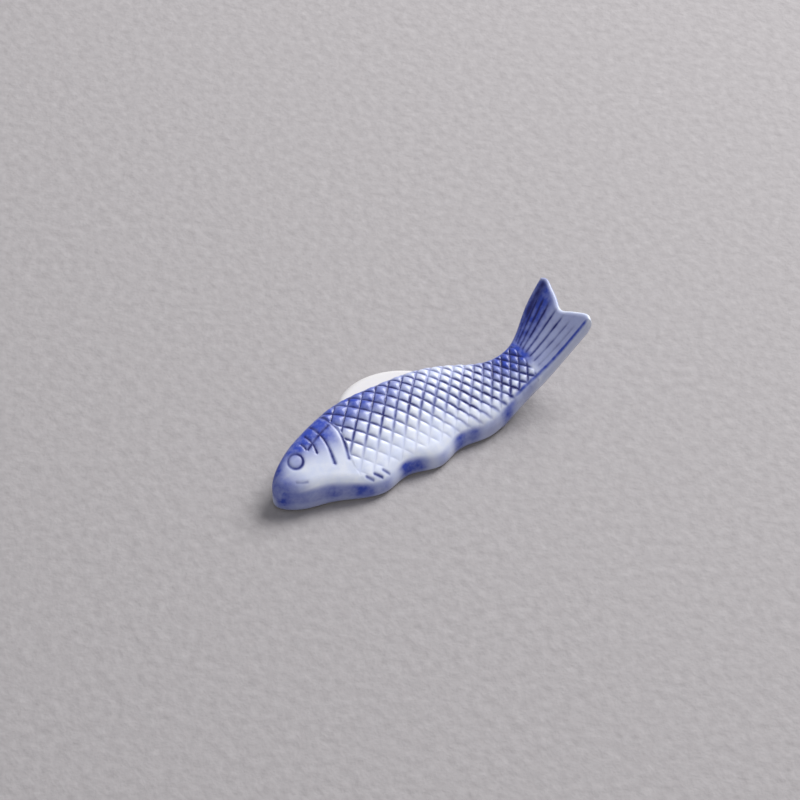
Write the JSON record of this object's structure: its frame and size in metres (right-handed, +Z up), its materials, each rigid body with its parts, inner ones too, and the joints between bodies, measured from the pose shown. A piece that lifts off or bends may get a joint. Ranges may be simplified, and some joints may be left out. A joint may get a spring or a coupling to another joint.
{
  "type": "chopstick rest",
  "caption": "Porcelain chopstick rest in the form of a fish on its side, with raised scales, fins and a lifted forked tail that keeps chopsticks in the dip before it.",
  "frame": {"origin": "on the table plane, on the flat foot, halfway between nose and tail tips on the line through them", "axes": "+X from the nose to the tail, +Y to the fish's back, +Z up from the table"},
  "size_m": [0.0693, 0.0239, 0.017],
  "materials": {
    "porcelain": "bare fired porcelain, matt",
    "glaze": "clear gloss glaze over cobalt blue painting"
  },
  "bodies": {
    "root": {"porcelain_body": "porcelain", "glaze_coat": "glaze"}
  },
  "joints": []
}
